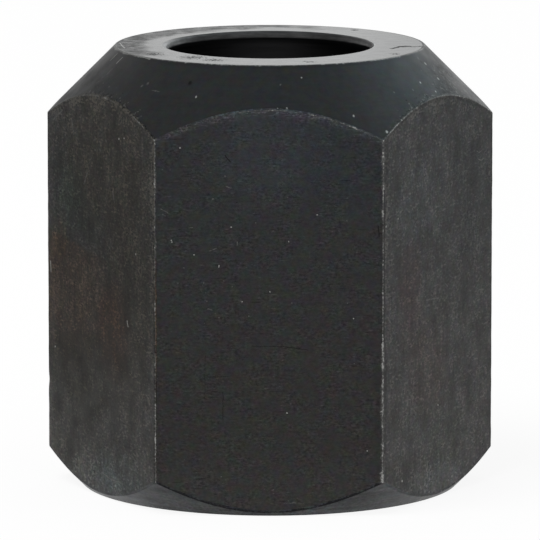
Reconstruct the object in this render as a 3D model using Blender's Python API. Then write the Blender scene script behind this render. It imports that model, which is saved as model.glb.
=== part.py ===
"""Hexagonal clamping nut for a spindle collet.

The nut is one piece of hexagon bar, turned at both ends, bored, and tapped with a fine thread.
It stands on its threaded end, with the nose that closes the collet upwards.
Units are metres, +Z runs along the axis, and the origin is the middle of the base.
"""

import math

import bmesh
import bpy
from mathutils import Matrix

MM = 0.001

# Hexagon bar, with one flat facing -Y
ACROSS_FLATS = 19.0 * MM
CORNER_RADIUS = 0.15 * MM
HEIGHT = 21.7 * MM

# Fine spindle thread, modelled as a plain bore at the crests of its threads
FLAT_WALL = 2.0 * MM
THREAD_PITCH = 1.0 * MM
THREAD_DIAMETER = ACROSS_FLATS - 2 * FLAT_WALL
CREST_DEPTH = 5 / 8 * math.cos(math.radians(30)) * THREAD_PITCH
CREST_DIAMETER = THREAD_DIAMETER - 2 * CREST_DEPTH
ENTRY_CLEARANCE = 0.25 * MM

# Run-out groove above the thread
RELIEF_CLEARANCE = 0.15 * MM
RELIEF_LENGTH = 2.0 * MM

# Chamber for the collet's head, which has to pass the thread crests
HEAD_CLEARANCE = 0.26 * MM
CHAMBER_LENGTH = 2.5 * MM
CHAMBER_DIAMETER = CREST_DIAMETER - 2 * HEAD_CLEARANCE

# Cone that closes the collet, measured from the axis
CLOSING_WIDTH = 1.6 * MM
CLOSING_ANGLE = math.radians(30)

# Nose bore: a short land under a broken edge
BORE_LAND = 0.25 * MM
EDGE_BREAK = 0.08 * MM
BORE_DIAMETER = CHAMBER_DIAMETER - 2 * CLOSING_WIDTH

# Turned ends, with angles measured from the end faces
NOSE_LIP = 2.5 * MM
NOSE_ANGLE = math.radians(45)
NOSE_FACE_DIAMETER = BORE_DIAMETER + 2 * NOSE_LIP
BASE_CHAMFER = 0.2 * MM
BASE_ANGLE = math.radians(45)
BASE_FACE_DIAMETER = ACROSS_FLATS - 2 * BASE_CHAMFER

# Facets of a full turn and of one rounded corner
TURN_STEPS = 96
CORNER_STEPS = 2

# How far the stock and the cutters run past the finished nut
OVERRUN = 2.0 * MM
WELD = 0.0001 * MM


def clear_scene():
    for item in list(bpy.data.objects):
        bpy.data.objects.remove(item, do_unlink=True)


def make_material(name, colour, roughness, metallic):
    material = bpy.data.materials.new(name)
    material.use_nodes = True
    shader = material.node_tree.nodes["Principled BSDF"]
    shader.inputs["Base Color"].default_value = (*colour, 1.0)
    shader.inputs["Roughness"].default_value = roughness
    shader.inputs["Metallic"].default_value = metallic
    return material


def add_object(name, shape):
    """Put a bmesh into the scene as an object, and free the bmesh."""
    mesh = bpy.data.meshes.new(name)
    shape.to_mesh(mesh)
    shape.free()
    item = bpy.data.objects.new(name, mesh)
    bpy.context.collection.objects.link(item)
    return item


def corner_reach():
    """Distance from the axis to the bar's sharp corners, before they are rounded."""
    return ACROSS_FLATS / 2 / math.cos(math.radians(30))


def hexagon_bar():
    """A length of bar with rounded corners, longer than the nut at both ends."""
    shape = bmesh.new()
    bmesh.ops.create_circle(
        shape,
        cap_ends=True,
        segments=6,
        radius=corner_reach(),
        matrix=Matrix.Translation((0, 0, -OVERRUN)) @ Matrix.Rotation(math.radians(30), 4, "Z"),
    )
    grown = bmesh.ops.extrude_face_region(shape, geom=shape.faces[:])
    lifted = [part for part in grown["geom"] if isinstance(part, bmesh.types.BMVert)]
    bmesh.ops.translate(shape, verts=lifted, vec=(0, 0, HEIGHT + 2 * OVERRUN))
    upright = [
        edge for edge in shape.edges
        if abs(edge.verts[0].co.z - edge.verts[1].co.z) > HEIGHT
    ]
    bmesh.ops.bevel(
        shape,
        geom=upright,
        offset=CORNER_RADIUS * math.tan(math.radians(30)),
        segments=CORNER_STEPS,
        profile=0.5,
        affect="EDGES",
    )
    bmesh.ops.recalc_face_normals(shape, faces=shape.faces)
    return shape


def turned(profile):
    """Spin a profile of (radius, height) points, which starts and ends on the axis, about Z."""
    shape = bmesh.new()
    points = [shape.verts.new((radius, 0, height)) for radius, height in profile]
    for start, end in zip(points, points[1:]):
        shape.edges.new((start, end))
    bmesh.ops.spin(
        shape,
        geom=shape.verts[:] + shape.edges[:],
        cent=(0, 0, 0),
        axis=(0, 0, 1),
        angle=math.tau,
        steps=TURN_STEPS,
        use_merge=True,
    )
    bmesh.ops.remove_doubles(shape, verts=shape.verts, dist=WELD)
    bmesh.ops.recalc_face_normals(shape, faces=shape.faces)
    return shape


def outside_turning():
    """What turning leaves of the bar: base face, base chamfer, nose cone and nose face."""
    reach = corner_reach() + OVERRUN
    base_radius = BASE_FACE_DIAMETER / 2
    nose_radius = NOSE_FACE_DIAMETER / 2
    half_break = EDGE_BREAK / 2
    return turned([
        (0, 0),
        (base_radius, 0),
        (reach, (reach - base_radius) * math.tan(BASE_ANGLE)),
        (reach, HEIGHT - (reach - nose_radius) * math.tan(NOSE_ANGLE)),
        (
            nose_radius + half_break * math.cos(NOSE_ANGLE),
            HEIGHT - half_break * math.sin(NOSE_ANGLE),
        ),
        (nose_radius - half_break, HEIGHT),
        (0, HEIGHT),
    ])


def inside_boring():
    """What is bored out, from above the nose to below the base."""
    bore_radius = BORE_DIAMETER / 2
    chamber_radius = CHAMBER_DIAMETER / 2
    crest_radius = CREST_DIAMETER / 2
    relief_radius = THREAD_DIAMETER / 2 + RELIEF_CLEARANCE
    entry_radius = THREAD_DIAMETER / 2 + ENTRY_CLEARANCE
    land_foot = HEIGHT - EDGE_BREAK - BORE_LAND
    closing_foot = land_foot - CLOSING_WIDTH / math.tan(CLOSING_ANGLE)
    chamber_foot = closing_foot - CHAMBER_LENGTH
    relief_foot = chamber_foot - RELIEF_LENGTH
    return turned([
        (0, HEIGHT + OVERRUN),
        (bore_radius + EDGE_BREAK + OVERRUN, HEIGHT + OVERRUN),
        (bore_radius, HEIGHT - EDGE_BREAK),
        (bore_radius, land_foot),
        (chamber_radius, closing_foot),
        (chamber_radius, chamber_foot),
        (relief_radius, chamber_foot),
        (relief_radius, relief_foot),
        (crest_radius, relief_foot - (relief_radius - crest_radius)),
        (crest_radius, entry_radius - crest_radius),
        (entry_radius + OVERRUN, -OVERRUN),
        (0, -OVERRUN),
    ])


def machine(item, name, shape, operation):
    """Work a turned shape into the item with a Boolean, and apply it."""
    cutter = add_object(name, shape)
    step = item.modifiers.new(name, "BOOLEAN")
    step.operation = operation
    step.solver = "EXACT"
    step.object = cutter
    view = bpy.context.evaluated_depsgraph_get()
    mesh = bpy.data.meshes.new_from_object(item.evaluated_get(view))
    item.modifiers.clear()
    item.data = mesh
    bpy.data.objects.remove(cutter, do_unlink=True)


def finish_surface(item):
    """Keep only the real edges sharp, and blacken the steel all over."""
    mesh = item.data
    mesh.name = item.name
    mesh.shade_smooth()
    mesh.set_sharp_from_angle(angle=math.radians(12))
    mesh.materials.clear()
    mesh.materials.append(make_material("blackened_steel", (0.03, 0.029, 0.029), 0.4, 1.0))


def main():
    clear_scene()
    nut = add_object("collet_nut", hexagon_bar())
    machine(nut, "outside_turning", outside_turning(), "INTERSECT")
    machine(nut, "inside_boring", inside_boring(), "DIFFERENCE")
    finish_surface(nut)


main()
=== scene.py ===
"""Looks of the collet nut: its surface as machined and blackened, the studio and the camera."""

import math

import bmesh
import bpy
from mathutils import Matrix, Vector, noise


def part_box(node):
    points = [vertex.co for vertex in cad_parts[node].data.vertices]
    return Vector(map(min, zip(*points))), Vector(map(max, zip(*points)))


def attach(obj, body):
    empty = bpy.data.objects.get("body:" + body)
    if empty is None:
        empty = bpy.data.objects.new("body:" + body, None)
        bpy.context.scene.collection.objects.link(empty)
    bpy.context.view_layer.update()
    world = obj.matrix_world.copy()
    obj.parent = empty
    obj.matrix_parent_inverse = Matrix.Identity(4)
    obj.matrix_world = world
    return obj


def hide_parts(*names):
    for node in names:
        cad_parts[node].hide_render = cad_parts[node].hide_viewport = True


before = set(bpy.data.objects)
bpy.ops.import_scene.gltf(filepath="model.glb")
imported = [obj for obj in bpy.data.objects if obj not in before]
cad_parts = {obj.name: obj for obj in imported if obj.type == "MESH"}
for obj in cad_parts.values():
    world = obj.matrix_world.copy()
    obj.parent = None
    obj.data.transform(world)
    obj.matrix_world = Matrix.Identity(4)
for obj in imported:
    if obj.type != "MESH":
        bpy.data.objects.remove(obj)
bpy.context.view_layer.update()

MM = 0.001

# Sizes of the nut, from the frame where it shows them
NODE = "collet_nut"
LOW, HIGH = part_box(NODE)
HEIGHT = HIGH.z - LOW.z
APOTHEM = (HIGH.y - LOW.y) / 2
NOSE_RADIUS = 7.6 * MM
BASE_RADIUS = 9.3 * MM
BORE_RADIUS = 5.1 * MM
CHAMBER_RADIUS = 6.7 * MM
RELIEF_RADIUS = 7.65 * MM
LAND_DEPTH = 0.33 * MM
CLOSING_ANGLE = math.radians(30)
CHAMBER_LENGTH = 2.5 * MM
RELIEF_LENGTH = 2.0 * MM

# Thread form: (share of the pitch, share of the depth), crest first
PITCH = 1.0 * MM
CREST_RADIUS = 6.96 * MM
ROOT_RADIUS = 7.5 * MM
ENTRY_RADIUS = 7.75 * MM
THREAD_FORM = (
    (0.0, 0.0),
    (0.25, 0.0),
    (0.354, 1 / 3),
    (0.458, 2 / 3),
    (0.5625, 1.0),
    (0.6875, 1.0),
    (0.792, 2 / 3),
    (0.896, 1 / 3),
)

# Rounding of the edges, and how much it varies along them
CORNER_ROUND = 0.15 * MM
ARC_ROUND = 0.10 * MM
NOSE_ROUND = 0.12 * MM
BASE_ROUND = 0.06 * MM
RIM_ROUND = 0.04 * MM
RIM_ROUND_LEFT = 0.20 * MM
RIM_ROUND_REAR = 0.18 * MM
ROUND_VARIES = 0.45
ROUND_GRAIN = 0.5 * MM
ROUND_FADE = 0.6 * MM
CORNER_STRIDE = 10 * MM
SHARP_ANGLE = math.radians(30)

# How worn the edges are, where 1 is well worn, how strong the painted shade along the lower arcs
# is, and how far both reach
NOSE_WEAR = 1.0
SIDE_ARC_WEAR = 0.95
BASE_WEAR = 0.8
LOW_ARC_SHADE = 1.0
SIDE_LOW_ARC_SHADE = 0.5
WEAR_AND_SHADE_REACH = 0.2 * MM

# Wear of the front's upper arc, from the right: (from this x on, wear)
FRONT_ARC_WEAR = ((1.8 * MM, 0.95), (-1.3 * MM, 0.91), (-APOTHEM, 0.76))

# Wear of the upright corners: (from a height up, wear, how much wider than the others)
EVEN_CORNER = ((0.0, 1.0, 1.0),)
CORNER_WEAR = {
    0.5: ((16 * MM, 1.03, 2.2), (8.5 * MM, 0.98, 0.8), (0.0, 1.07, 1.7)),
    5.5: ((14 * MM, 1.0, 1.1), (7 * MM, 0.95, 0.65), (0.0, 1.02, 0.95)),
}

# Nicks in the upright corners: (corner, height, half length, extra rounding)
NICKS = (
    (0.5, 14.9 * MM, 0.35 * MM, 0.22 * MM),
    (4.5, 5.0 * MM, 0.25 * MM, 0.20 * MM),
)

# Names of the nut's mesh, and of its painting data: place on the surface, and wear_and_shade: worn
# edges, and painted shade along the lower arcs
SURFACE = "collet_nut_surface"
MAP = "surface_map"
WEAR_AND_SHADE_ATTRIBUTE = "wear_and_shade"

# Grid of the surface
FLAT_COLUMNS = 46
CORNER_COLUMNS = 6
CONE_ROWS = 14
FLAT_ROWS = 96
CHAMFER_ROWS = 10
CLOSING_ROWS = 8
ROUND_ROWS = 5
EDGE_STEPS = (0.07 * MM, 0.16 * MM, 0.32 * MM)
INNER_COLUMNS = 192
WELD = 0.0002 * MM

# How far one seed's noise lies from the next one's
SEED_STEP = (7.13, -3.71, 1.0)

SIDES = 6
SECTOR = math.tau / SIDES
FRONT = -math.pi / 2
TURNED = math.radians(45)
FLAT_WIDTH = 2 * (APOTHEM - CORNER_ROUND) * math.tan(SECTOR / 2)
SIDE_PITCH = FLAT_WIDTH + CORNER_ROUND * SECTOR

# Each side's zone, from the front one round to the right, and the zones of the turned surfaces
FLATS = ("flat_front", "flat_right", "flat_far", "flat_far", "flat_far", "flat_left")
ZONES = ("flat_front", "flat_right", "flat_far", "flat_left", "cone", "nose_face", "base", "inside")


def wander(point, grain, seed):
    """Smooth noise of about -1 to 1, with bumps about one grain across."""
    return noise.noise(Vector(point) / grain + Vector([seed * step for step in SEED_STEP]))


def spaced(length, count):
    """Places from 0 to length: closer steps at both ends, even ones between."""
    shrink = min(1.0, length / (4 * EDGE_STEPS[-1]))
    start = [0.0] + [step * shrink for step in EDGE_STEPS]
    end = [length - step for step in reversed(start)]
    inner = count - 2 * len(EDGE_STEPS)
    gap = (end[0] - start[-1]) / inner
    return start + [start[-1] + gap * step for step in range(1, inner)] + end


def straight(start, end, count):
    """Points between two edges, without the edges' own end points."""
    length = (end - start).length
    return [start.lerp(end, place / length) for place in spaced(length, count)[1:-1]]


def rounded(start, corner, end):
    """Points of a rounded edge between two points, with the sharp corner as its guide."""
    start, corner, end = Vector(start), Vector(corner), Vector(end)
    points = []
    for step in range(ROUND_ROWS + 1):
        share = step / ROUND_ROWS
        points.append(start.lerp(corner, share).lerp(corner.lerp(end, share), share))
    return points


def stations():
    """Columns of one side: (share along the flat, None) and (None, turn round the corner)."""
    flat = [(2 * place / FLAT_WIDTH - 1, None) for place in spaced(FLAT_WIDTH, FLAT_COLUMNS)]
    corner = [(None, step / CORNER_COLUMNS) for step in range(1, CORNER_COLUMNS)]
    return flat + corner


def across(side, station):
    """Distance round the bar to a column, from the left end of the front flat."""
    share, turn = station
    if turn is None:
        return side * SIDE_PITCH + FLAT_WIDTH * (share + 1) / 2
    return side * SIDE_PITCH + FLAT_WIDTH + CORNER_ROUND * SECTOR * turn


def outline(side, station, radius):
    """A point of the bar's outline, on a flat or round the corner after it."""
    share, turn = station
    middle = FRONT + side * SECTOR
    if turn is None:
        along = share * (APOTHEM - radius) * math.tan(SECTOR / 2)
        return Matrix.Rotation(middle, 2) @ Vector((APOTHEM, along))
    reach = (APOTHEM - radius) / math.cos(SECTOR / 2)
    centre = Matrix.Rotation(middle + SECTOR / 2, 2) @ Vector((reach, 0))
    return centre + Matrix.Rotation(middle + SECTOR * turn, 2) @ Vector((radius, 0))


def nearest_corner(side, station):
    """Number of the nearest upright corner: 0.5 is the one between the sides 0 and 1."""
    share, turn = station
    return (side + (0.5 if turn is not None or share > 0 else -0.5)) % SIDES


def corner_wear(side, station, height):
    """How worn a column is by its distance from the nearest upright corner's middle."""
    share, turn = station
    stretches = CORNER_WEAR.get(nearest_corner(side, station), EVEN_CORNER)
    worst, wider = next(rest for foot, *rest in stretches if height >= foot)
    gap = CORNER_ROUND * SECTOR
    if turn is None:
        gap = (1 - abs(share)) * FLAT_WIDTH / 2 + gap / 2
    else:
        gap *= abs(turn - 0.5)
    return worst * fading(gap / wider)


def corner_round(side, station, height, from_end):
    """Rounding of the nearest upright corner, which is worn and nicked unevenly."""
    corner = nearest_corner(side, station)
    fade = min(1.0, from_end / ROUND_FADE)
    worn = wander((corner * CORNER_STRIDE, 0, height), ROUND_GRAIN, seed=3)
    radius = CORNER_ROUND * (1 + ROUND_VARIES * fade * worn)
    for place, middle, reach, extra in NICKS:
        if place == corner:
            radius += extra * math.exp(-((height - middle) / reach) ** 2)
    return radius


def fading(gap):
    """1 on an edge, fading away from it."""
    return math.exp(-gap / WEAR_AND_SHADE_REACH)


def meridian(side, station):
    """One column of the outside, from the nose face to the base ring, as (point, wear_and_shade,
    zone).
    """
    cos, sin = math.cos(TURNED), math.sin(TURNED)
    foot = outline(side, station, CORNER_ROUND)
    out = foot.normalized()
    reach = foot.length
    top = HEIGHT - (reach - NOSE_RADIUS) * math.tan(TURNED)
    bottom = (reach - BASE_RADIUS) * math.tan(TURNED)
    place = (foot.x, foot.y, 0)
    cut = math.tan(TURNED / 2)
    nose = NOSE_ROUND * cut * (1 + ROUND_VARIES * wander(place, ROUND_GRAIN, seed=5))
    arc = ARC_ROUND * cut * (1 + ROUND_VARIES * wander(place, ROUND_GRAIN, seed=7))
    low_arc = ARC_ROUND * cut * (1 + ROUND_VARIES * wander(place, ROUND_GRAIN, seed=9))
    base = BASE_ROUND * cut

    nose_edge = rounded(
        (NOSE_RADIUS - nose, HEIGHT),
        (NOSE_RADIUS, HEIGHT),
        (NOSE_RADIUS + nose * cos, HEIGHT - nose * sin),
    )
    top_edge = rounded((reach - arc * cos, top + arc * sin), (reach, top), (reach, top - arc))
    low_edge = rounded(
        (reach, bottom + low_arc),
        (reach, bottom),
        (reach - low_arc * cos, bottom - low_arc * sin),
    )
    base_edge = rounded(
        (BASE_RADIUS + base * cos, base * sin), (BASE_RADIUS, 0), (BASE_RADIUS - base, 0)
    )
    nose_border = [Vector((nose_edge[0].x - step, HEIGHT)) for step in reversed(EDGE_STEPS)]
    base_border = [Vector((base_edge[-1].x - step, 0)) for step in EDGE_STEPS]
    runs = (
        (nose_border, "nose_face"),
        (nose_edge, "cone"),
        (straight(nose_edge[-1], top_edge[0], CONE_ROWS), "cone"),
        (top_edge, FLATS[side]),
        (straight(top_edge[-1], low_edge[0], FLAT_ROWS), FLATS[side]),
        (low_edge, "base"),
        (straight(low_edge[-1], base_edge[0], CHAMFER_ROWS), "base"),
        (base_edge, "base"),
        (base_border, "base"),
    )
    arc_wear, arc_shade_strength = SIDE_ARC_WEAR, SIDE_LOW_ARC_SHADE
    if side == 0:
        arc_wear = next(wear_and_shade for start, wear_and_shade in FRONT_ARC_WEAR if foot.x >= start)
        arc_shade_strength = LOW_ARC_SHADE
    worn_at = (
        (Vector((NOSE_RADIUS, HEIGHT)), NOSE_WEAR),
        (Vector((reach, top)), arc_wear),
        (Vector((BASE_RADIUS, 0)), BASE_WEAR),
    )
    shaded_arc_corner = Vector((reach, bottom))
    column = []
    for points, zone in runs:
        for point in points:
            radius, height = point
            wear_and_shade = max(worst * fading((point - edge).length) for edge, worst in worn_at)
            x, y = out * radius
            upright = bottom < height < top
            if upright:
                from_end = min(top - height, height - bottom)
                corner = corner_round(side, station, height, from_end)
                x, y = outline(side, station, corner) * (radius / reach)
                wear_and_shade = max(wear_and_shade, corner_wear(side, station, height))
            # Painted shade: a dark line along the lower arc, kept as a value below 0
            painted_shade = arc_shade_strength * fading((point - shaded_arc_corner).length)
            if painted_shade > wear_and_shade:
                wear_and_shade = -painted_shade
            column.append(((x, y, height), wear_and_shade, zone))
    return column


class Shell:
    """Points, faces and painting data of the surface, gathered ring by ring."""

    def __init__(self):
        self.points = []
        self.wear_and_shade = []
        self.faces = []
        self.maps = []
        self.zones = []

    def add_ring(self, columns, places, seam_shift=0):
        """Add a closed ring of columns of (point, wear_and_shade, zone), each at its place round
        the ring.

        At the seam, a row of the last column meets the row of the first that is seam_shift
        rows above it.
        """
        numbers = []
        for column in columns:
            first = len(self.points)
            self.points += [point for point, _, _ in column]
            self.wear_and_shade += [wear_and_shade for _, wear_and_shade, _ in column]
            numbers.append(range(first, first + len(column)))
        for left, column in enumerate(columns):
            right = (left + 1) % len(columns)
            shift = seam_shift if right == 0 else 0
            for row in range(len(column) - 1 - shift):
                corners = (
                    (numbers[left][row + shift], places[left]),
                    (numbers[left][row + shift + 1], places[left]),
                    (numbers[right][row + 1], places[left + 1]),
                    (numbers[right][row], places[left + 1]),
                )
                self.faces.append([number for number, _ in corners])
                for number, place in corners:
                    self.maps += [place / MM, self.points[number][2] / MM]
                self.zones.append(ZONES.index(column[row + 1][2]))

    def make_mesh(self, name):
        mesh = bpy.data.meshes.new(name)
        mesh.from_pydata(self.points, [], self.faces)
        mesh.uv_layers.new(name=MAP).data.foreach_set("uv", self.maps)
        mesh.attributes.new(WEAR_AND_SHADE_ATTRIBUTE, "FLOAT", "POINT").data.foreach_set("value", self.wear_and_shade)
        mesh.polygons.foreach_set("material_index", self.zones)
        return mesh


def add_outside(shell):
    """The bar's flats, the nose cone and the base chamfer."""
    columns = []
    places = []
    for side in range(SIDES):
        for station in stations():
            columns.append(meridian(side, station))
            places.append(across(side, station))
    shell.add_ring(columns, places + [SIDES * SIDE_PITCH])


def add_ring_of(shell, column_at, seam_shift=0):
    """Add an inner ring, whose columns a function gives for each angle."""
    angles = [math.tau * index / INNER_COLUMNS for index in range(INNER_COLUMNS)]
    places = [BORE_RADIUS * angle for angle in (*angles, math.tau)]
    shell.add_ring([column_at(angle) for angle in angles], places, seam_shift)


def add_turned_inside(shell):
    """Rim, land, closing cone, chamber and run-out groove: returns the groove's lower end."""
    land_foot = HEIGHT - LAND_DEPTH
    closing_foot = land_foot - (CHAMBER_RADIUS - BORE_RADIUS) / math.tan(CLOSING_ANGLE)
    chamber_foot = closing_foot - CHAMBER_LENGTH
    relief_foot = chamber_foot - RELIEF_LENGTH
    profile = []
    for step in range(CLOSING_ROWS + 1):
        share = step / CLOSING_ROWS
        radius = BORE_RADIUS + (CHAMBER_RADIUS - BORE_RADIUS) * share
        profile.append((radius, land_foot + (closing_foot - land_foot) * share, 0.0))
    profile.append((CHAMBER_RADIUS, chamber_foot, 0.0))
    profile.append((RELIEF_RADIUS, chamber_foot, 0.0))
    profile.append((RELIEF_RADIUS, relief_foot, 0.0))

    def column_at(angle):
        cos, sin = math.cos(angle), math.sin(angle)
        blunt = RIM_ROUND
        blunt += (RIM_ROUND_LEFT - RIM_ROUND) * max(0.0, -cos) ** 4
        blunt += (RIM_ROUND_REAR - RIM_ROUND) * max(0.0, sin) ** 4
        rim = rounded(
            (BORE_RADIUS + blunt, HEIGHT), (BORE_RADIUS, HEIGHT), (BORE_RADIUS, HEIGHT - blunt)
        )
        border = [(rim[0].x + step, HEIGHT, fading(step)) for step in reversed(EDGE_STEPS)]
        column = []
        for radius, height, wear_and_shade in border + [(*point, 1.0) for point in rim] + profile:
            zone = "nose_face" if height == HEIGHT else "inside"
            column.append(((radius * cos, radius * sin, height), wear_and_shade, zone))
        return column

    add_ring_of(shell, column_at)
    return relief_foot


def add_thread(shell, top):
    """A right-handed thread whose rows climb one pitch a turn, with its entry chamfer."""
    turns = range(-1, math.ceil(top / PITCH) + 1)
    rows = [(turn + share, depth) for turn in turns for share, depth in THREAD_FORM]

    def column_at(angle):
        column = []
        for turn, depth in reversed(rows):
            height = min(max((turn + angle / math.tau) * PITCH, 0.0), top)
            radius = CREST_RADIUS + (ROOT_RADIUS - CREST_RADIUS) * depth
            radius = max(radius, ENTRY_RADIUS - height, RELIEF_RADIUS - (top - height))
            point = (radius * math.cos(angle), radius * math.sin(angle), height)
            column.append((point, 0.0, "inside"))
        return column

    add_ring_of(shell, column_at, seam_shift=len(THREAD_FORM))


def close_ends(mesh):
    """Weld the rings together, and fill the nose face and the base ring between them."""
    shape = bmesh.new()
    shape.from_mesh(mesh)
    bmesh.ops.remove_doubles(shape, verts=shape.verts, dist=WELD)
    for height, zone in ((HEIGHT, "nose_face"), (0.0, "base")):
        rims = [
            edge for edge in shape.edges
            if edge.is_boundary and all(abs(vert.co.z - height) < WELD for vert in edge.verts)
        ]
        filled = bmesh.ops.triangle_fill(shape, use_beauty=True, edges=rims, normal=(0, 0, 1))
        for part in filled["geom"]:
            if isinstance(part, bmesh.types.BMFace):
                part.material_index = ZONES.index(zone)
    bmesh.ops.recalc_face_normals(shape, faces=shape.faces)
    shape.to_mesh(mesh)
    shape.free()


def make_nut():
    shell = Shell()
    add_outside(shell)
    groove_foot = add_turned_inside(shell)
    add_thread(shell, groove_foot)
    mesh = shell.make_mesh(SURFACE)
    close_ends(mesh)
    mesh.shade_smooth()
    mesh.set_sharp_from_angle(angle=SHARP_ANGLE)
    nut = bpy.data.objects.new(SURFACE, mesh)
    bpy.context.collection.objects.link(nut)
    return nut


# Colours of the oxide and of the steel under it, as the reflection at a straight look
BLUE_BLACK = (0.0290, 0.0306, 0.0318)
BROWN_BLACK = (0.0316, 0.0302, 0.0287)
SCRATCHED = (0.013, 0.013, 0.013)
# Painted shade: the colour of the dark line along the lower arcs
PAINTED_SHADE_COLOUR = (0.012, 0.012, 0.013)
RUBBED = (0.090, 0.090, 0.087)
POLISHED = (0.270, 0.270, 0.260)
FLECK = (0.084, 0.082, 0.076)
# Bare steel of specks and scratches, and the painted highlight along the nose rim
BARE_STEEL_AND_HIGHLIGHT = (0.27, 0.27, 0.257)
INNER = (0.022, 0.022, 0.023)
# Painted light: the land is coloured lighter, standing in for light falling down the bore onto it
LAND_PAINTED_LIGHT = (0.144, 0.142, 0.141)

# Stains on the flats, in mm, the upper ones first: (x, height, reach along, reach up, tint)
FRONT_STAINS = (
    (-0.2, 18.2, 3.6, 4.0, (1.12, 1.15, 1.22)),
    (3.4, 17.6, 2.6, 3.6, (0.96, 1.00, 1.06)),
)
LEFT_STAINS = (
    (-1.2, 7.0, 2.4, 1.5, (0.66, 0.68, 0.62)),
    (-1.2, 6.2, 6.5, 3.2, (0.66, 0.62, 0.54)),
    (-0.8, 1.0, 3.6, 1.5, (1.80, 1.90, 2.00)),
    (-4.3, 12.2, 1.2, 1.5, (1.35, 1.18, 0.95)),
    (-3.6, 13.8, 1.0, 2.6, (1.16, 1.22, 1.18)),
    (-4.6, 1.9, 1.4, 1.8, (1.50, 1.50, 1.50)),
    (1.3, 8.6, 2.2, 3.0, (1.04, 0.70, 0.58)),
    (-3.0, 10.0, 5.0, 5.2, (1.20, 0.90, 0.70)),
    (-1.6, 13.4, 3.4, 1.6, (0.78, 0.84, 0.80)),
    (-3.2, 15.0, 2.2, 2.0, (0.80, 0.98, 0.91)),
    (0.5, 16.8, 7.0, 5.0, (0.92, 0.84, 0.70)),
    (-3.4, 6.2, 2.6, 1.8, (0.60, 0.60, 0.52)),
    (-1.6, 4.8, 2.6, 1.4, (0.78, 0.80, 0.70)),
    (2.0, 1.4, 4.0, 1.6, (1.00, 1.14, 1.16)),
    (-2.6, 2.4, 5.6, 3.6, (0.62, 0.60, 0.54)),
    (3.4, 3.4, 3.6, 3.6, (0.80, 0.78, 0.74)),
    (3.0, 10.0, 4.0, 7.0, (0.80, 0.74, 0.62)),
)
RIGHT_STAINS = (
    (-2.9, 10.4, 1.6, 3.4, (1.12, 0.90, 0.92)),
    (-1.0, 6.6, 2.6, 3.0, (1.10, 0.95, 0.92)),
    (-1.8, 15.0, 3.8, 3.2, (1.20, 1.26, 1.28)),
    (0.3, 0.8, 3.2, 1.5, (1.55, 1.62, 1.68)),
    (3.4, 15.0, 2.4, 5.0, (0.76, 0.80, 0.80)),
    (0.5, 3.0, 3.0, 2.4, (1.02, 1.07, 1.00)),
)
STAINS = {"flat_front": FRONT_STAINS, "flat_left": LEFT_STAINS, "flat_right": RIGHT_STAINS}

# Stains this much redder than blue end at a border: its height at x 0, fall along x and softness
RED = 1.5
BORDER_HEIGHT = 12.05
BORDER_FALL = 0.13
BORDER_SOFTNESS = 0.3

# How much darker the oxide is beside a worn edge of a flat, and of the turned surfaces
DARK_BESIDE = {"flat_front": 0.05, "flat_right": 0.40, "flat_far": 0.40, "flat_left": 0.12}
TURNED_DARK_BESIDE = 0.1

# Wear where that darkening begins and ends, on both of its sides
DARK_RISE = (0.25, 0.50)
DARK_FALL = (0.85, 0.70)

# Wear and noise together where the oxide is rubbed off, where the steel is polished, and for the
# painted shade along the lower arcs
RUBBED_AT = (1.00, 1.26)
POLISHED_AT = (1.95, 2.15)
SHADED_ARC_AT = (-1.60, -1.95)

# Brown-black in the oxide: (height, lower height, share there, share at the lower one), the shares
# on the turned surfaces, and how much small patches swing in hue
FRONT_BROWN = (20.0, 3.0, 0.0, 0.75)
SIDE_BROWN = (19.0, 4.0, 0.25, 0.75)
TURNED_BROWN = 0.2
NOSE_BROWN = 0.5
HUE_SWING = 0.56

# Contrast of the side flats' patterns: on all of them, and how strong each flat shows them
STREAK_DEPTH = 1.2
GRAIN_DEPTH = 3.2
BROAD_DEPTH = 2.4
BLOTCH_DEPTH = 1.0
CONTRAST = {"flat_right": 0.77, "flat_far": 0.4, "flat_left": 1.0}

# Turned surfaces: (waves of the rings a mm, their contrast, the grain's contrast, roughness, tint)
TURNED_LOOKS = {
    "cone": (9.0, 0.25, 0.3, (0.3, 0.42), (1.0, 1.0, 1.0)),
    "base": (4.0, 3.0, 2.4, (0.3, 0.4), (1.04, 1.08, 1.11)),
}

# Drawing: a mark's border in half widths, a fleck's border, and how far crowding lowers that
MARK_BORDER = (1.2, 0.4)
FLECK_BORDER = 0.10
CROWDING = 0.16
OUT_OF_REACH = 10.0
LOWEST_TONE = 0.2

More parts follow.
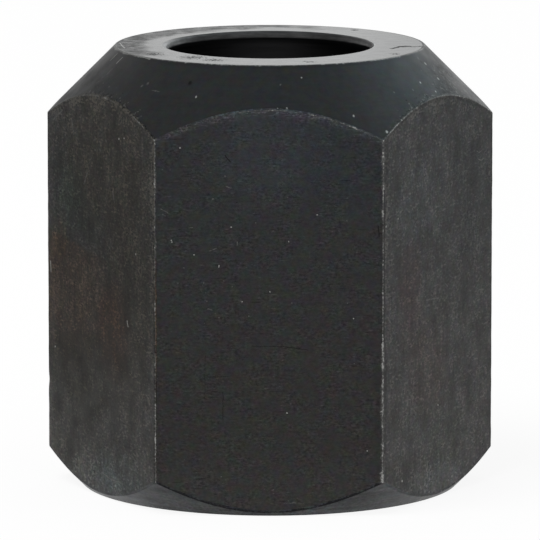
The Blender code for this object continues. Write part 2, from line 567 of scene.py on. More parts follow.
# Marks seen in the photograph, in mm. A dot is (x, y, radius), and a scratch is
# (x, y, end x, end y, half its width). On a flat, x runs from its middle and y is the height.
# On the cone and the nose face they are the plan's x and y.
BRIGHT_MARKS = {
    "flat_front": (
        (-4.25, 17.97, 0.045), (-1.82, 14.15, 0.04), (-4.7, 13.5, 0.035), (-4.66, 13.42, 0.035),
        (-3.59, 12.79, 0.035), (-2.4, 12.3, -2.4, 12.2, 0.03), (0.95, 13.45, 0.03),
        (4.72, 3.23, 0.035), (0.87, 5.09, 0.04), (2.35, 14.75, 0.035), (4.05, 9.7, 0.035),
        (-1.3, 10.51, 0.035), (0.05, 10.99, 0.03), (0.57, 19.9, 0.05), (1.05, 19.86, 0.04),
    ),
    "flat_left": (
        (1.95, 17.96, 0.06), (2.45, 18.05, 0.05), (3.6, 12.55, 0.06), (2.7, 9.15, 2.8, 8.9, 0.04),
        (-4.75, 6.75, 0.06), (-5.2, 10.95, -5.15, 10.45, 0.05),
    ),
    "flat_right": (
        (-4.06, 14.35, 0.045), (-5.24, 14.15, 0.06), (0.0, 4.6, 0.045), (-3.58, 1.43, 0.07),
        (-2.22, 19.5, 0.06),
    ),
    "cone": (
        (-3.5, -8.32, 0.06), (1.55, -8.0, 0.04), (4.05, -8.97, 0.06), (5.65, -8.99, 0.08),
        (7.58, -2.95, 0.07), (8.19, -3.28, 0.07), (7.1, -6.7, 0.09), (0.86, -9.38, 0.05),
        (0.42, -9.42, 0.04), (7.3, -4.9, 0.05), (8.05, -4.6, 0.05),
        (-7.76, -2.22, -7.46, -2.18, 0.04), (-7.44, -3.17, -7.17, -3.13, 0.04),
        # Painted highlight along the worn left end of the nose rim, drawn in bare steel colour
        (-7.62, 0.1, -7.53, -1.34, 0.07), (-7.51, -1.34, -7.04, -2.93, 0.07),
        (-7.04, -2.93, -6.33, -4.24, 0.06), (-6.33, -4.24, -5.78, -5.0, 0.04),
    ),
    "nose_face": (
        (-7.4, 0.7, -7.26, -0.4, 0.02), (-7.26, -0.4, -7.1, -1.3, 0.03),
    ),
}
FAINT_MARKS = {
    "flat_front": (
        (-3.11, 17.2, 0.04), (-3.68, 16.91, 0.03), (-4.74, 16.91, 0.03), (-2.1, 16.62, 0.045),
        (-2.05, 16.12, -1.82, 16.05, 0.03), (-2.68, 15.51, 0.045), (-2.59, 14.93, 0.035),
        (-3.85, 14.1, -3.65, 14.12, 0.02), (-2.85, 12.98, -2.52, 13.1, 0.02), (-4.08, 12.16, 0.035),
        (-2.16, 11.53, 0.04), (-1.77, 11.24, 0.04), (-0.96, 9.82, 0.035), (-0.62, 14.35, 0.03),
        (-1.53, 13.42, -1.53, 13.28, 0.03), (-3.12, 11.43, 0.035), (-3.05, 10.95, 0.03),
        (-2.98, 10.55, 0.035), (-2.93, 10.16, -2.74, 10.11, 0.03), (-2.6, 9.95, 0.04),
        (-2.4, 9.73, 0.04), (3.75, 14.45, 0.035), (1.1, 10.45, 0.035), (3.75, 10.45, 0.03),
        (4.1, 7.5, 0.035), (-2.3, 1.95, 0.035), (0.72, 0.67, 1.69, 0.67, 0.015),
        (-5.17, 15.02, -4.84, 14.83, 0.02), (-5.1, 14.75, -4.95, 14.68, 0.02),
    ),
    "flat_left": (
        (-0.5, 17.6, 0.08), (0.62, 17.69, 0.08), (-0.5, 17.1, 0.06), (0.01, 17.17, 0.07),
        (-3.6, 17.45, 0.06), (-3.5, 16.6, 0.06), (-1.3, 15.9, -1.65, 15.3, 0.05),
        (1.3, 15.3, 1.45, 14.8, 0.04), (-1.05, 12.2, 0.05), (0.07, 1.26, 0.9, 1.06, 0.03),
        (0.9, 1.06, 2.02, 1.05, 0.03), (-0.55, 1.95, -0.35, 1.6, 0.04),
        (-4.85, 18.05, -3.9, 18.6, 0.05), (-2.9, 18.3, -2.7, 17.6, 0.05),
    ),
    "flat_right": (
        (3.85, 16.62, 4.05, 16.54, 0.03), (4.05, 16.54, 4.3, 16.6, 0.03),
        (4.02, 16.2, 4.26, 16.12, 0.03), (4.26, 16.12, 4.52, 16.18, 0.03),
        (2.9, 17.19, 3.2, 17.19, 0.03), (4.14, 17.75, 4.14, 17.6, 0.05), (3.19, 10.57, 0.05),
        (-3.72, 7.21, 0.035), (-4.6, 4.85, 0.035), (-2.14, 7.95, 0.04), (0.43, 1.5, 0.05),
        (-1.25, 9.99, 0.05, 9.89, 0.018), (-2.35, 10.15, -1.65, 10.04, 0.015),
        (0.7, 10.5, 0.95, 10.35, 0.03), (-5.46, 18.75, -5.2, 18.3, 0.04), (-4.38, 18.1, 0.05),
    ),
    "cone": (
        (0.55, -8.4, 0.05), (-7.88, -3.39, -7.7, -3.31, 0.08), (-8.17, -3.28, 0.07),
        (-5.87, -6.37, 0.09), (-6.15, -6.26, 0.07), (-5.65, -6.89, -5.29, -7.18, 0.03),
        (6.94, -5.78, 0.06), (6.01, -6.74, 0.05), (7.21, -3.07, 0.07),
        (7.45, -6.2, 7.95, -5.6, 0.05),
    ),
    "nose_face": (
        (-6.6, 0.4, -6.05, -0.9, 0.03), (-5.1, -4.8, -4.4, -5.2, 0.03),
    ),
}
DARK_MARKS = {
    "flat_front": (
        (-0.82, 8.36, 0.55, 8.34, 0.015), (0.55, 8.34, 1.87, 8.18, 0.018),
        (-2.21, 6.1, -2.21, 4.74, 0.018), (-3.07, 7.92, -3.08, 5.72, 0.01), (-2.2, 12.6, 0.04),
        (-0.72, 11.92, 0.04), (-1.53, 15.36, 0.04), (-2.1, 17.6, -1.85, 17.3, 0.03),
        (5.25, 14.2, 5.3, 13.7, 0.03),
    ),
    "flat_left": (
        (-3.6, 15.7, -2.9, 13.2, 0.02), (-1.6, 6.9, -1.1, 4.3, 0.02), (-3.55, 18.2, 0.1),
        (-3.1, 18.0, 0.08), (-0.1, 1.8, 0.05, 1.3, 0.04),
    ),
    "flat_right": (
        (-3.17, 13.06, -3.15, 10.85, 0.025), (1.4, 8.2, 1.6, 5.4, 0.02),
        (2.9, 14.9, 2.95, 13.8, 0.03),
    ),
    "cone": (
        (-3.8, -7.56, 0.12), (7.38, -3.15, 0.09), (7.64, -3.14, 8.23, -2.91, 0.04),
        (8.6, -3.9, 8.9, -3.1, 0.05), (8.05, -4.3, 8.4, -3.9, 0.05), (-8.2, -1.7, -8.6, -1.5, 0.05),
    ),
    "nose_face": (
        (1.72, -6.05, 0.1), (2.92, -7.0, 0.08), (5.95, -1.43, 6.43, -0.7, 0.13),
        (6.43, -0.7, 6.7, -0.6, 0.24), (6.7, -0.6, 6.97, -0.79, 0.06),
        (6.97, -0.79, 7.33, -0.62, 0.11), (7.33, -0.62, 7.52, -0.5, 0.05), (4.21, 5.58, 0.2),
    ),
}

# Pitted places on the nose face: (x, y, reach)
NOSE_PITS = (
    (-3.7, -4.7, 1.6),
    (-2.7, -5.7, 1.3),
    (-5.6, -3.6, 1.0),
    (2.0, -6.3, 0.7),
    (6.1, -3.4, 0.6),
)


class Paint:
    """A material's nodes, with short calls for those that the surfaces use."""

    def __init__(self, name):
        self.material = bpy.data.materials.new(name)
        self.material.use_nodes = True
        self.tree = self.material.node_tree
        self.shader = self.tree.nodes["Principled BSDF"]
        self.relief = 0.0

    def set(self, socket, value):
        if isinstance(value, bpy.types.NodeSocket):
            self.tree.links.new(value, socket)
        else:
            socket.default_value = value

    def add(self, kind, inputs, **settings):
        node = self.tree.nodes.new(kind)
        for name, value in settings.items():
            setattr(node, name, value)
        for socket, value in inputs.items():
            self.set(node.inputs[socket], value)
        return node

    def math(self, operation, first, second=0.0, third=0.0):
        node = self.add("ShaderNodeMath", {0: first, 1: second, 2: third}, operation=operation)
        return node.outputs[0]

    def times(self, first, second):
        return self.math("MULTIPLY", first, second)

    def times_plus(self, first, second, added):
        return self.math("MULTIPLY_ADD", first, second, added)

    def most(self, first, second):
        return self.math("MAXIMUM", first, second)

    def vector(self, operation, first, second=(0, 0, 0)):
        return self.add("ShaderNodeVectorMath", {0: first, 1: second}, operation=operation)

    def moved(self, place, step):
        """The place less a step."""
        return self.vector("SUBTRACT", place, step).outputs[0]

    def distance(self, place, point):
        return self.vector("DISTANCE", place, point).outputs["Value"]

    def part(self, place, axis):
        """The x, y or z of a place."""
        return self.add("ShaderNodeSeparateXYZ", {0: place}).outputs[axis]

    def map(self):
        """Place on the surface: millimetres round the bar and above the base."""
        return self.add("ShaderNodeUVMap", {}, uv_map=MAP).outputs["UV"]

    def place(self):
        """Place in the nut, in millimetres."""
        coordinates = self.add("ShaderNodeTexCoord", {}).outputs["Object"]
        return self.vector("MULTIPLY", coordinates, (1 / MM, 1 / MM, 1 / MM)).outputs[0]

    def plan(self, place):
        """The place without its height."""
        return self.vector("MULTIPLY", place, (1, 1, 0)).outputs[0]

    def wear_and_shade(self):
        """About 1 on a worn edge, 0 away from the edges, and -1 on a lower arc with painted shade.
        """
        return self.add("ShaderNodeAttribute", {}, attribute_name=WEAR_AND_SHADE_ATTRIBUTE).outputs["Fac"]

    def near_edge(self, reach):
        """1 on a worn edge, fading away from it over a reach in mm."""
        wear_and_shade = self.most(self.wear_and_shade(), 0.0)
        return self.math("POWER", wear_and_shade, WEAR_AND_SHADE_REACH / MM / reach)

    def noise(self, place, scales, detail=2.0, roughness=0.5):
        """Noise of 0 to 1, with its own number of waves a millimetre along each axis."""
        stretched = self.vector("MULTIPLY", place, scales).outputs[0]
        inputs = {"Vector": stretched, "Scale": 1.0, "Detail": detail, "Roughness": roughness}
        return self.add("ShaderNodeTexNoise", inputs).outputs["Fac"]

    def noise_colour(self, place, scales):
        """Smooth noise as a vector, each part of it 0 to 1."""
        stretched = self.vector("MULTIPLY", place, scales).outputs[0]
        return self.add("ShaderNodeTexNoise", {"Vector": stretched, "Scale": 1.0}).outputs["Color"]

    def specks(self, place, gap, largest):
        """Round specks of many sizes, about one in each gap's width."""
        inputs = {"Vector": place, "Scale": 1 / gap}
        cells = self.add("ShaderNodeTexVoronoi", inputs)
        size = self.times(cells.outputs["Color"], 2 * largest / gap)
        size = self.math("SUBTRACT", size, largest / gap)
        away = self.math("DIVIDE", cells.outputs["Distance"], self.most(size, 0.0001))
        return self.ramp(away, 1.0, 0.6)

    def ramp(self, value, low, high, start=0.0, end=1.0):
        """Turn a value from low to high smoothly into one from start to end."""
        inputs = {"Value": value, "From Min": low, "From Max": high, "To Min": start, "To Max": end}
        node = self.add("ShaderNodeMapRange", inputs, interpolation_type="SMOOTHSTEP")
        return node.outputs["Result"]

    def less(self, mask, depth=1.0):
        """1 where a mask is 0, and less by a depth where it is 1."""
        return self.ramp(mask, 0.0, 1.0, 1.0, 1.0 - depth)

    def mix(self, share, first, second):
        """Mix two colours."""
        first, second = [
            (*colour, 1.0) if isinstance(colour, tuple) else colour for colour in (first, second)
        ]
        inputs = {0: share, 6: first, 7: second}
        return self.add("ShaderNodeMix", inputs, data_type="RGBA").outputs[2]

    def shade(self, colour, factor):
        """Multiply a colour by a brightness or a tint."""
        if isinstance(factor, tuple):
            factor = (*factor, 1.0)
        inputs = {0: 1.0, 6: colour, 7: factor}
        return self.add("ShaderNodeMix", inputs, data_type="RGBA", blend_type="MULTIPLY").outputs[2]

    def marks(self, place, marks):
        """1 on dots and scratches, and 0 away from them."""
        nearest = OUT_OF_REACH
        for *points, size in marks:
            start = (*points[:2], 0)
            away = self.distance(place, start)
            if len(points) == 4:
                away = self.distance_to_line(place, Vector(start), Vector((*points[2:], 0)))
            nearest = self.math("MINIMUM", nearest, self.math("DIVIDE", away, size))
        return self.ramp(nearest, *MARK_BORDER)

    def distance_to_line(self, place, start, end):
        """Distance from the place to a straight line between two points."""
        run = end - start
        along = self.vector("DOT_PRODUCT", self.moved(place, start), run.normalized())
        along = self.math("MINIMUM", along.outputs["Value"], run.length)
        along = self.most(along, 0.0)
        inputs = {0: run.normalized(), "Scale": along}
        step = self.add("ShaderNodeVectorMath", inputs, operation="SCALE")
        return self.distance(self.moved(place, start), step.outputs[0])

    def lift(self, height, depth):
        """Add to the relief: where the height is 1, the surface is that many mm higher."""
        self.relief = self.times_plus(height, depth, self.relief)

    def finish(self, colour, roughness):
        """Connect the shader, with the relief as bump."""
        inputs = {"Height": self.relief, "Strength": 1.0, "Distance": MM}
        bump = self.add("ShaderNodeBump", inputs)
        self.set(self.shader.inputs["Base Color"], colour)
        self.set(self.shader.inputs["Roughness"], roughness)
        self.set(self.shader.inputs["Metallic"], 1.0)
        self.set(self.shader.inputs["Normal"], bump.outputs["Normal"])
        return self.material


def wobble(paint, place, grain, size):
    """The place moved by noise of a grain in mm, so that what is drawn there has uneven borders."""
    step = paint.moved(paint.noise_colour(place, (1 / grain,) * 3), (0.5, 0.5, 0.5))
    step = paint.vector("MULTIPLY", step, (size, size, 0)).outputs[0]
    return paint.vector("ADD", place, step).outputs[0]


def worn_and_shaded_edges(paint, colour, place, dark):
    """Rub the oxide off worn edges in a thin broken line, and paint shade along the lower arcs.

    Beside the line, the surface is as much darker as dark says.
    """
    wear_and_shade = paint.wear_and_shade()
    coarse = paint.noise(place, (1.3, 1.3, 1.3), 3.0, 0.6)
    fine = paint.noise(place, (10, 10, 10), 2.0, 0.6)
    beside = paint.times(paint.ramp(wear_and_shade, *DARK_RISE), paint.ramp(wear_and_shade, *DARK_FALL))
    colour = paint.shade(colour, paint.less(beside, dark))
    line = paint.math("ADD", wear_and_shade, paint.ramp(coarse, 0.3, 0.7, -0.15, 0.06))
    line = paint.times_plus(fine, 0.6, line)
    line = paint.ramp(line, *RUBBED_AT)
    colour = paint.mix(line, colour, RUBBED)
    peaks = paint.math("ADD", paint.math("ADD", fine, coarse), wear_and_shade)
    peaks = paint.times(line, paint.ramp(peaks, *POLISHED_AT))
    colour = paint.mix(peaks, colour, POLISHED)
    # Painted shade: darker along the lower arcs, where the value is below 0
    painted_shade = paint.times_plus(coarse, -1.0, wear_and_shade)
    painted_shade = paint.times_plus(fine, -1.0, painted_shade)
    return paint.mix(paint.ramp(painted_shade, *SHADED_ARC_AT), colour, PAINTED_SHADE_COLOUR)


def draw_marks(paint, colour, place, zone):
    """Add a zone's bright, faint and dark marks to its colour."""
    uneven = wobble(paint, wobble(paint, place, 0.25, 0.08), 0.06, 0.05)
    dark = paint.marks(uneven, DARK_MARKS.get(zone, ()))
    faint = paint.marks(uneven, FAINT_MARKS.get(zone, ()))
    bright = paint.marks(uneven, BRIGHT_MARKS.get(zone, ()))
    strength = paint.ramp(paint.noise(place, (8, 8, 8)), 0.35, 0.6, 0.3, 1.0)
    faint = paint.times(faint, strength)
    colour = paint.mix(dark, colour, SCRATCHED)
    colour = paint.mix(faint, colour, RUBBED)
    return paint.mix(bright, colour, BARE_STEEL_AND_HIGHLIGHT)


def oxide(paint, place, tone, brown):
    """The mottled colour of the oxide, from blue-black to as much brown-black as is told."""
    blotches = paint.noise(place, (0.7, 0.7, 0.7), 3.0)
    share = paint.math("ADD", brown, paint.ramp(blotches, 0.3, 0.7, -0.3, 0.3))
    colour = paint.shade(paint.mix(share, BLUE_BLACK, BROWN_BLACK), tone)
    hues = paint.noise_colour(place, (2.4, 2.4, 2.4))
    hues = paint.vector("MULTIPLY", hues, (HUE_SWING,) * 3).outputs[0]
    hues = paint.vector("ADD", hues, (1 - HUE_SWING / 2,) * 3).outputs[0]
    colour = paint.shade(colour, hues)
    return paint.mix(paint.specks(place, 2.2, 0.035), colour, RUBBED)


def below_arc(paint, place):
    """Distance in mm from the arc in which the nose cone cuts a flat, down to a place on it."""
    along = paint.part(place, "X")
    reach = paint.times_plus(along, along, (APOTHEM / MM) ** 2)
    reach = paint.math("ADD", paint.math("SQRT", reach), paint.part(place, "Y"))
    return paint.math("SUBTRACT", (HEIGHT + NOSE_RADIUS) / MM, reach)


def flecks(paint, place, scales, threshold, crowd):
    """1 where noise is above a threshold, which is lower where the flecks crowd."""
    height = paint.times_plus(crowd, CROWDING, paint.noise(place, scales, 2.0, 0.55))
    return paint.ramp(height, threshold, threshold + FLECK_BORDER)


def swing(paint, noise, depth):
    """Brightness that noise swings about 1 by up to half a depth."""
    return paint.times_plus(noise, depth, 1.0 - depth / 2)


def front_texture(paint, place):
    """Brightness of the front flat: fine blotches in lively patches, and level strokes."""
    lively = paint.ramp(paint.noise(place, (0.8, 1.0, 0), 3.0), 0.36, 0.62, 0.35, 1.1)
    grain = paint.noise(place, (6, 9, 0), 2.0, 0.65)
    swings = paint.times(paint.math("SUBTRACT", grain, 0.5), lively)
    tone = paint.times_plus(swings, 1.7, 1.0)
    blotches = paint.noise(place, (2.4, 3.6, 0), 2.0, 0.6)
    tone = paint.times(tone, swing(paint, blotches, 0.36))
    close = paint.ramp(below_arc(paint, place), 0.5, 0.0)
    tone = paint.times_plus(close, 0.22, tone)
    crowd = paint.times_plus(lively, 0.4, close)
    strokes = flecks(paint, place, (2.6, 12, 0), 0.67, crowd)
    tone = paint.times_plus(strokes, 0.5, tone)
    dots = flecks(paint, paint.moved(place, (-7, -2, 0)), (7, 8, 0), 0.74, crowd)
    tone = paint.times_plus(dots, 1.2, tone)
    aside = paint.moved(place, (-3, -5, 0))
    lines = paint.ramp(paint.noise(aside, (1.0, 11, 0), 1.0), 0.66, 0.76)
    ends = paint.ramp(paint.part(place, "Y"), 4.0, 1.0, 1.0, 1.12)
    paint.lift(grain, 0.001)
    paint.lift(lines, -0.002)
    return paint.times(paint.times_plus(lines, -0.3, tone), ends)


def side_texture(paint, place, zone):
    """Brightness of a flat with upright draw marks, and how much of it light flecks cover."""
    contrast = CONTRAST[zone]
    streaks = paint.noise(place, (4, 0.8, 0), 3.0, 0.6)
    grain = paint.noise(place, (5, 8, 0), 2.0, 0.7)
    broad = paint.noise(place, (0.9, 0.35, 0), 3.0, 0.6)
    blotches = paint.noise(place, (1.6, 2.2, 0), 2.0, 0.6)
    depths = (STREAK_DEPTH, GRAIN_DEPTH, BROAD_DEPTH, BLOTCH_DEPTH)
    tone = 1.0
    for pattern, depth in zip((streaks, grain, broad, blotches), depths):
        tone = paint.times(swing(paint, pattern, depth * contrast), tone)
    along = paint.part(place, "X")
    height = paint.part(place, "Y")
    half = FLAT_WIDTH / 2 / MM
    edge = paint.ramp(along, half - 0.7, half)
    if zone == "flat_right":
        edge = paint.ramp(along, 0.7 - half, -half)
    edge = paint.times(edge, paint.ramp(height, 9.0, 13.0))
    close = paint.most(edge, paint.ramp(below_arc(paint, place), 0.6, 0.0))
    patches = paint.ramp(paint.math("ADD", broad, blotches), 0.85, 1.2, -0.1, 0.7)
    crowd = paint.times_plus(close, 0.8, patches)
    tone = paint.times_plus(close, 0.25, tone)
    if zone == "flat_left":
        tone = paint.times_plus(paint.ramp(along, -4.5, -5.1), 0.3, tone)
    pits = flecks(paint, paint.moved(place, (-5, -3, 0)), (5, 7, 0), 0.66, crowd)
    tone = paint.most(tone, LOWEST_TONE)
    tone = paint.times(tone, paint.less(pits, 0.8 * contrast))
    light = flecks(paint, place, (5, 8, 0), 0.64, crowd)
    strokes = flecks(paint, place, (8, 3.2, 0), 0.67, crowd)
    light = paint.most(light, paint.times(strokes, 0.7))
    paint.lift(streaks, 0.002)
    paint.lift(pits, -0.002)
    return tone, paint.times(light, contrast)


def under_border(paint, place):
    """1 under the frayed border of the red stains, and 0 above it."""
    frayed = wobble(paint, place, 0.25, 0.35)
    fall = paint.times(paint.part(frayed, "X"), BORDER_FALL)
    height = paint.math("ADD", fall, paint.part(frayed, "Y"))
    return paint.ramp(height, BORDER_HEIGHT, BORDER_HEIGHT - BORDER_SOFTNESS)


def stained(paint, colour, place, stains):
    """Tint a flat's colour in soft uneven stains, from the lowest one up."""
    uneven = wobble(paint, place, 0.9, 1.0)
    for x, height, along, up, tint in reversed(stains):
        middle = (x / along, height / up, 0)
        scaled = paint.vector("MULTIPLY", uneven, (1 / along, 1 / up, 0)).outputs[0]
        share = paint.ramp(paint.distance(scaled, middle), 1.0, 0.35)
        if tint[0] > RED * tint[2]:
            share = paint.times(share, under_border(paint, place))
        colour = paint.mix(share, colour, paint.shade(colour, tint))
    return colour


def flat_material(zone):
    """Oxide on a drawn flat: mottled, finely scratched, with specks, worn borders and painted shade
    along the lower arc.
    """
    paint = Paint(zone)
    round_bar = paint.map()
    height = paint.part(round_bar, "Y")
    start = (SIDE_PITCH - FLAT_WIDTH) / 2 / MM
    along = paint.math("ADD", paint.part(round_bar, "X"), start)
    along = paint.math("FLOORED_MODULO", along, SIDE_PITCH / MM)
    along = paint.math("SUBTRACT", along, SIDE_PITCH / 2 / MM)
    place = paint.add("ShaderNodeCombineXYZ", {0: along, 1: height}).outputs[0]
    if zone == "flat_front":
        tone, light = front_texture(paint, place), 0.0
        brown = paint.ramp(height, *FRONT_BROWN)
    else:
        tone, light = side_texture(paint, place, zone)
        brown = paint.ramp(height, *SIDE_BROWN)
    colour = oxide(paint, round_bar, tone, brown)
    colour = paint.mix(light, colour, FLECK)
    colour = stained(paint, colour, place, STAINS.get(zone, ()))
    colour = draw_marks(paint, colour, place, zone)
    colour = worn_and_shaded_edges(paint, colour, paint.place(), DARK_BESIDE[zone])
    roughness = paint.ramp(paint.noise(round_bar, (0.8, 0.8, 0), 3.0), 0.3, 0.7, 0.34, 0.46)
    return paint.finish(colour, roughness)


def turned_material(zone):
    """Oxide on a turned surface: rings round the axis, grain, and flecks by the rim and ends."""
    waves, rings_depth, grain_depth, roughness_range, tint = TURNED_LOOKS[zone]
    paint = Paint(zone)
    place = paint.place()
    rings = paint.noise(place, (0.3, 0.3, waves), 3.0, 0.7)
    grain = paint.noise(place, (6, 6, 9), 2.0, 0.7)
    tone = swing(paint, rings, rings_depth)
    tone = paint.times(tone, swing(paint, grain, grain_depth))

    along = paint.part(place, "X")
    aside = paint.ramp(paint.math("ABSOLUTE", along), 4.5, 6.5)
    below_rim = paint.ramp(paint.part(place, "Z"), 21.2, 20.5)
    by_rim = paint.times(aside, below_rim)
    by_rim = paint.times(by_rim, paint.near_edge(0.45))
    right_end = paint.ramp(along, 6.8, 8.6)
    left_end = paint.ramp(along, -7.0, -8.6, 0.0, 0.6)
    rough_end = paint.most(right_end, left_end)
    by_rim = paint.times(by_rim, 1.9)
    crowd = paint.most(by_rim, paint.times(rough_end, 1.3))
    light = flecks(paint, place, (5.5, 5.5, 5.5), 0.76, crowd)
    pits = flecks(paint, paint.moved(place, (-5, -3, 0)), (5.5, 5.5, 5.5), 0.74, crowd)

    patches = paint.noise(place, (1.6, 1.6, 2.2), 3.0, 0.65)
    patches = paint.times(paint.math("SUBTRACT", patches, 0.55), rough_end)
    tone = paint.times_plus(patches, 2.6, tone)
    tone = paint.times(tone, paint.less(pits, 0.7))
    tone = paint.most(tone, LOWEST_TONE)
    colour = paint.shade(oxide(paint, place, tone, TURNED_BROWN), tint)
    colour = draw_marks(paint, colour, paint.plan(place), zone)
    colour = paint.mix(light, colour, RUBBED)
    colour = worn_and_shaded_edges(paint, colour, place, TURNED_DARK_BESIDE)
    paint.lift(rings, 0.001)
    roughness = paint.ramp(paint.noise(place, (0.8, 0.8, 0.8), 3.0), 0.3, 0.7, *roughness_range)
    roughness = paint.times_plus(rough_end, 0.08, roughness)
    return paint.finish(colour, roughness)


def nose_material(zone):
    """Oxide on the faced nose ring: smooth in front, and dull along its rear and left rim."""
    paint = Paint(zone)
    place = paint.place()
    plan = paint.plan(place)
    grain = paint.noise(place, (6, 6, 0), 3.0, 0.7)
    colour = oxide(paint, place, swing(paint, grain, 1.2), NOSE_BROWN)
    colour = draw_marks(paint, colour, plan, zone)
    colour = worn_and_shaded_edges(paint, colour, place, 0.0)

    uneven = wobble(paint, wobble(paint, plan, 1.6, 2.4), 0.4, 0.5)
    rim = paint.ramp(paint.distance(uneven, (0, 0, 0)), 5.7, 6.7)
    slant = paint.times_plus(paint.part(uneven, "Y"), -0.4, paint.part(uneven, "X"))
    side = paint.ramp(slant, 2.0, -3.0)
    rear = paint.ramp(paint.part(uneven, "Y"), -5.0, -2.6)
    dirt = paint.times(paint.times(rim, side), rear)
    patches = paint.noise(place, (1.3, 2.2, 0), 3.0, 0.6)
    dirt = paint.times(dirt, swing(paint, patches, 3.0))
    dirt = paint.times(dirt, swing(paint, grain, 1.6))
    bright = paint.marks(wobble(paint, plan, 0.3, 0.06), BRIGHT_MARKS[zone])
    dirt = paint.times(dirt, paint.less(bright))

    crowd = 0.0
    for x, y, reach in NOSE_PITS:
        near = paint.ramp(paint.distance(plan, (x, y, 0)), reach, 0.0)
        crowd = paint.most(crowd, near)
    pits = flecks(paint, plan, (9, 6, 0), 0.58, paint.times_plus(crowd, 2.0, -1.0))
    pits = paint.times(pits, 0.6)
    dents = paint.marks(wobble(paint, plan, 0.2, 0.15), DARK_MARKS[zone])
    dents = paint.times(dents, paint.ramp(grain, 0.35, 0.55))
    pits = paint.most(pits, dents)

    mottles = paint.noise(plan, (1.4, 3.0, 0), 3.0, 0.6)
    roughness = paint.ramp(mottles, 0.35, 0.65, 0.10, 0.15)
    roughness = paint.times_plus(dirt, 0.20, roughness)
    roughness = paint.times_plus(grain, 0.06, roughness)
    roughness = paint.times_plus(pits, 0.7, roughness)
    return paint.finish(colour, roughness)


def inside_material(zone):
    """Dull oxide inside, and painted light on the land at the top, most at both sides."""
    paint = Paint(zone)
    place = paint.place()
    height = paint.part(place, "Z")
    rings = paint.noise(place, (0.25, 0.25, 6.0), 3.0, 0.7)
    land_foot = (HEIGHT - LAND_DEPTH) / MM
    land = paint.ramp(height, land_foot - 0.03, land_foot + 0.06)
    # Painted light on the land: lighter at both sides and towards its foot, darker towards the rim
    land_light = paint.ramp(paint.noise(place, (1.5, 1.5, 7.0), 3.0, 0.6), 0.35, 0.7, 0.85, 1.3)
    along = paint.part(place, "X")
    left = paint.ramp(along, -3.4, -5.3, 1.0, 3.2)
    right = paint.ramp(along, 3.2, 5.1, 0.9, 3.4)
    land_light = paint.times(land_light, paint.times(left, right))
    upwards = paint.ramp(height, land_foot + 0.06, land_foot + 0.26, 1.2, 0.5)
    ends = paint.ramp(paint.math("ABSOLUTE", along), 4.2, 5.2)
    land_light = paint.times(land_light, paint.most(upwards, ends))
    colour = paint.shade((*INNER, 1.0), swing(paint, rings, 1.0))
    colour = paint.mix(land, colour, paint.shade((*LAND_PAINTED_LIGHT, 1.0), land_light))
    paint.lift(rings, 0.001)
    roughness = paint.times_plus(land, 0.12, paint.ramp(rings, 0.3, 0.7, 0.4, 0.55))
    return paint.finish(colour, roughness)


def zone_material(zone):
    if zone in TURNED_LOOKS:
        return turned_material(zone)
    if zone == "inside":
        return inside_material(zone)
    if zone == "nose_face":
        return nose_material(zone)
    return flat_material(zone)


# Camera, as fitted to the photograph's outline
CAMERA_DISTANCE = 336.5 * MM
CAMERA_ELEVATION = math.radians(9.38)
CAMERA_AZIMUTH = math.radians(0.294)
CAMERA_LENS = 454.5
CAMERA_SENSOR = 36
CAMERA_DROP = 0.366 * MM
CAMERA_NEAR = 0.01
CAMERA_FAR = 20


def add_camera():
    data = bpy.data.cameras.new("camera")
    data.sensor_width = CAMERA_SENSOR
    data.lens = CAMERA_LENS
    data.clip_start = CAMERA_NEAR
    data.clip_end = CAMERA_FAR
    camera = bpy.data.objects.new("camera", data)
    bpy.context.collection.objects.link(camera)
    flat = math.cos(CAMERA_ELEVATION)
    middle = Vector((0, 0, HEIGHT / 2))
    direction = Vector((
        math.sin(CAMERA_AZIMUTH) * flat,
        -math.cos(CAMERA_AZIMUTH) * flat,
        math.sin(CAMERA_ELEVATION),
    ))
    camera.location = middle + direction * CAMERA_DISTANCE
    aim = middle - Vector((0, 0, CAMERA_DROP))
    camera.rotation_euler = (aim - camera.location).to_track_quat("-Z", "Y").to_euler()
    bpy.context.scene.camera = camera


# Studio: white for what the camera and the reflections see, and plain light for the rest
FLOOR_SIZE = 4.0
FLOOR_COLOUR = 0.10
WORLD_LIGHT = 0.6
LAMP_POWER = 5.2
LAMP_SIZE = 0.6
LAMP_PLACE = Vector((-0.35, -0.35, 0.9))

# Light tent: (azimuth from behind the nut to the right, elevation), reach in degrees, colour
TENT_RADIUS = 45 * MM
TENT_SPLITS = 4
TENT_LIGHT = 1.0
TENT_PATCHES = (
    ((-70, -8), 40, (0.37, 0.36, 0.35)),
    ((-42, 40), 38, (0.44, 0.44, 0.44)),
    ((180, 84), 45, (0.74, 0.80, 0.83)),
    ((-84, 60), 20, (0.66, 0.67, 0.68)),
    ((70, 8), 40, (0.84, 0.84, 0.84)),
    ((45, 40), 26, (0.88, 0.88, 0.88)),
    ((74, 56), 26, (1.26, 1.46, 1.54)),
    ((3, 36), 20, (0.91, 0.92, 0.92)),
    ((18, 36), 10, (0.78, 0.79, 0.79)),
)


def seen_rays(tree):
    """1 for camera, glossy and transmission rays, and 0 for diffuse and shadow rays."""
    path = tree.nodes.new("ShaderNodeLightPath")
    total = path.outputs["Is Camera Ray"]
    for kind in ("Is Glossy Ray", "Is Transmission Ray"):
        add = tree.nodes.new("ShaderNodeMath")
        add.operation = "MAXIMUM"
        tree.links.new(total, add.inputs[0])
        tree.links.new(path.outputs[kind], add.inputs[1])
        total = add.outputs[0]
    return total


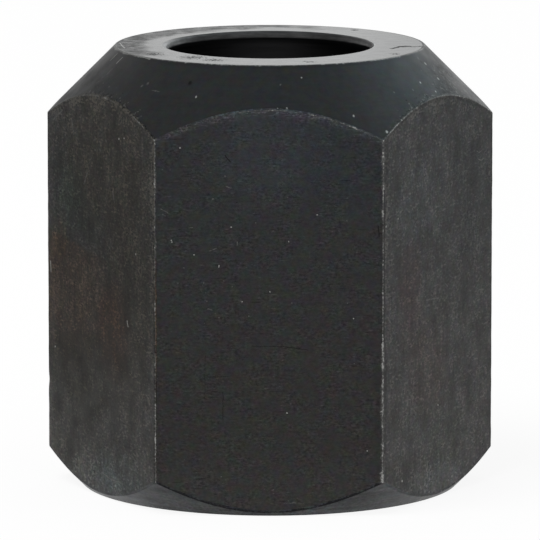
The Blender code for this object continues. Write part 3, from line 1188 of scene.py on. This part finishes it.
def add_world():
    world = bpy.data.worlds.new("studio")
    world.use_nodes = True
    tree = world.node_tree
    strength = tree.nodes.new("ShaderNodeMapRange")
    strength.inputs["To Min"].default_value = WORLD_LIGHT
    strength.inputs["To Max"].default_value = 1.0
    tree.links.new(seen_rays(tree), strength.inputs["Value"])
    background = tree.nodes["Background"]
    background.inputs["Color"].default_value = (1, 1, 1, 1)
    tree.links.new(strength.outputs["Result"], background.inputs["Strength"])
    bpy.context.scene.world = world


def add_floor():
    mesh = bpy.data.meshes.new("floor")
    half = FLOOR_SIZE / 2
    corners = [(-half, -half, 0), (half, -half, 0), (half, half, 0), (-half, half, 0)]
    mesh.from_pydata(corners, [], [(0, 1, 2, 3)])
    floor = bpy.data.objects.new("floor", mesh)
    bpy.context.collection.objects.link(floor)
    material = bpy.data.materials.new("floor")
    material.use_nodes = True
    tree = material.node_tree
    tree.nodes.remove(tree.nodes["Principled BSDF"])
    diffuse = tree.nodes.new("ShaderNodeBsdfDiffuse")
    diffuse.inputs["Color"].default_value = (FLOOR_COLOUR, FLOOR_COLOUR, FLOOR_COLOUR, 1)
    glow = tree.nodes.new("ShaderNodeEmission")
    strength = tree.nodes.new("ShaderNodeMath")
    strength.operation = "MULTIPLY"
    strength.inputs[1].default_value = 1.0 - FLOOR_COLOUR
    tree.links.new(seen_rays(tree), strength.inputs[0])
    tree.links.new(strength.outputs[0], glow.inputs["Strength"])
    both = tree.nodes.new("ShaderNodeAddShader")
    tree.links.new(diffuse.outputs[0], both.inputs[0])
    tree.links.new(glow.outputs[0], both.inputs[1])
    tree.links.new(both.outputs[0], tree.nodes["Material Output"].inputs["Surface"])
    mesh.materials.append(material)


def add_tent():
    """A light tent round the nut, seen by reflections alone: brighter and darker patches."""
    shape = bmesh.new()
    bmesh.ops.create_icosphere(shape, subdivisions=TENT_SPLITS, radius=TENT_RADIUS)
    mesh = bpy.data.meshes.new("light_tent")
    shape.to_mesh(mesh)
    shape.free()
    mesh.shade_smooth()
    tent = bpy.data.objects.new("light_tent", mesh)
    tent.visible_camera = False
    tent.visible_diffuse = False
    tent.visible_transmission = False
    tent.visible_volume_scatter = False
    tent.visible_shadow = False
    bpy.context.collection.objects.link(tent)
    paint = Paint("light_tent")
    place = paint.add("ShaderNodeTexCoord", {}).outputs["Object"]
    direction = paint.vector("NORMALIZE", place).outputs[0]
    light = (TENT_LIGHT, TENT_LIGHT, TENT_LIGHT)
    for (azimuth, elevation), reach, colour in TENT_PATCHES:
        flat = math.cos(math.radians(elevation))
        middle = (
            math.sin(math.radians(azimuth)) * flat,
            math.cos(math.radians(azimuth)) * flat,
            math.sin(math.radians(elevation)),
        )
        near = paint.vector("DOT_PRODUCT", direction, middle).outputs["Value"]
        share = paint.ramp(near, math.cos(math.radians(reach)), 1.0)
        light = paint.mix(share, light, colour)
    glow = paint.add("ShaderNodeEmission", {"Color": light, "Strength": 1.0})
    paint.tree.nodes.remove(paint.shader)
    output = paint.tree.nodes["Material Output"]
    paint.set(output.inputs["Surface"], glow.outputs[0])
    mesh.materials.append(paint.material)


def add_lamp():
    data = bpy.data.lights.new("softbox", "AREA")
    data.shape = "DISK"
    data.size = LAMP_SIZE
    data.energy = LAMP_POWER
    lamp = bpy.data.objects.new("softbox", data)
    lamp.location = LAMP_PLACE
    lamp.rotation_euler = (-LAMP_PLACE).to_track_quat("-Z", "Y").to_euler()
    lamp.visible_glossy = False
    bpy.context.collection.objects.link(lamp)


nut = make_nut()
for zone in ZONES:
    nut.data.materials.append(zone_material(zone))
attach(nut, "root")
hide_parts(NODE)

add_camera()
add_world()
add_floor()
add_tent()
add_lamp()
bpy.context.scene.view_settings.view_transform = "Standard"
